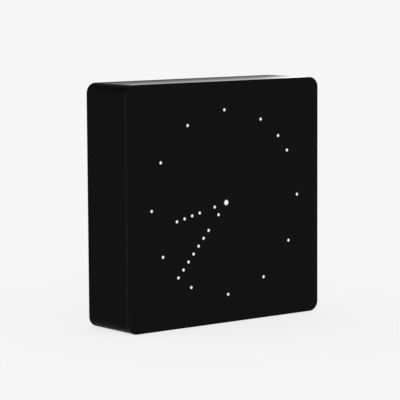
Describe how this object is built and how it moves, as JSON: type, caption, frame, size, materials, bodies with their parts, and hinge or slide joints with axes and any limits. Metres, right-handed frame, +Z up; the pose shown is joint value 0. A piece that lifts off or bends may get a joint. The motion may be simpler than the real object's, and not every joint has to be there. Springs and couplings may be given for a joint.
{
  "type": "analogue light-dot clock",
  "caption": "Square black desk and wall clock with rounded corners whose hour marks and hands are dots of white light on a plain face, with setting buttons on the back.",
  "frame": {"origin": "middle of the flat base that the clock stands on", "axes": "+X to the right of the dial, +Y from the dial to the back, +Z up"},
  "size_m": [0.2, 0.056, 0.2],
  "materials": {
    "case_lacquer": "satin black lacquer",
    "face_black": "satin black, dark-tinted face",
    "lit_dot": "white light behind a flush clear guide",
    "mask_black": "matt black",
    "strip_phosphor": "yellow phosphor on white",
    "board_green": "green solder mask",
    "chip_black": "matt moulded",
    "zinc_steel": "bright zinc",
    "cover_black": "fine moulded texture",
    "button_grey": "smooth satin",
    "ribbon_grey": "grey flat cable",
    "socket_ivory": "ivory nylon",
    "cell_skin": "plain printed sleeve",
    "contact_brass": "plated"
  },
  "bodies": {
    "case": {"case_shell": "case_lacquer", "front_panel": "face_black", "hour_marker_lights": "lit_dot", "minute_hand_lights": "lit_dot", "hour_hand_lights": "lit_dot", "second_light": "lit_dot", "centre_light": "lit_dot", "light_mask": "mask_black", "light_strips": "strip_phosphor", "display_board": "board_green", "display_board_screws": "zinc_steel", "driver_chips": "chip_black", "ribbon_cable": "ribbon_grey", "ribbon_sockets": "socket_ivory", "back_cover": "cover_black", "back_cover_screws": "zinc_steel", "hanger_plate": "zinc_steel", "hanger_screws": "zinc_steel", "battery_box": "cover_black", "battery_cells": "cell_skin", "battery_contacts": "contact_brass", "control_board": "board_green", "control_board_screws": "zinc_steel", "controller_chip": "chip_black", "clock_crystal": "zinc_steel", "backup_cell": "zinc_steel", "backup_cell_holder": "chip_black", "button_switches": "socket_ivory", "power_socket": "zinc_steel"},
    "mode_button": {"mode_button": "button_grey"},
    "set_button": {"set_button": "button_grey"},
    "up_button": {"up_button": "button_grey"},
    "down_button": {"down_button": "button_grey"},
    "battery_door": {"battery_door": "cover_black"}
  },
  "joints": [
    {"name": "battery_door_swing", "type": "hinge", "parent": "case", "child": "battery_door", "pos_m": [0, 0.025, 0.04565], "axis": [-1, 0, 0], "range_deg": [0, 90]},
    {"name": "mode_press", "type": "slide", "parent": "case", "child": "mode_button", "axis": [0, -1, 0], "range_m": [0, 0.0008], "stiffness_N_per_m": 500, "springref_m": -0.001},
    {"name": "set_press", "type": "slide", "parent": "case", "child": "set_button", "axis": [0, -1, 0], "range_m": [0, 0.0008], "stiffness_N_per_m": 500, "springref_m": -0.001},
    {"name": "up_press", "type": "slide", "parent": "case", "child": "up_button", "axis": [0, -1, 0], "range_m": [0, 0.0008], "stiffness_N_per_m": 500, "springref_m": -0.001},
    {"name": "down_press", "type": "slide", "parent": "case", "child": "down_button", "axis": [0, -1, 0], "range_m": [0, 0.0008], "stiffness_N_per_m": 500, "springref_m": -0.001}
  ]
}
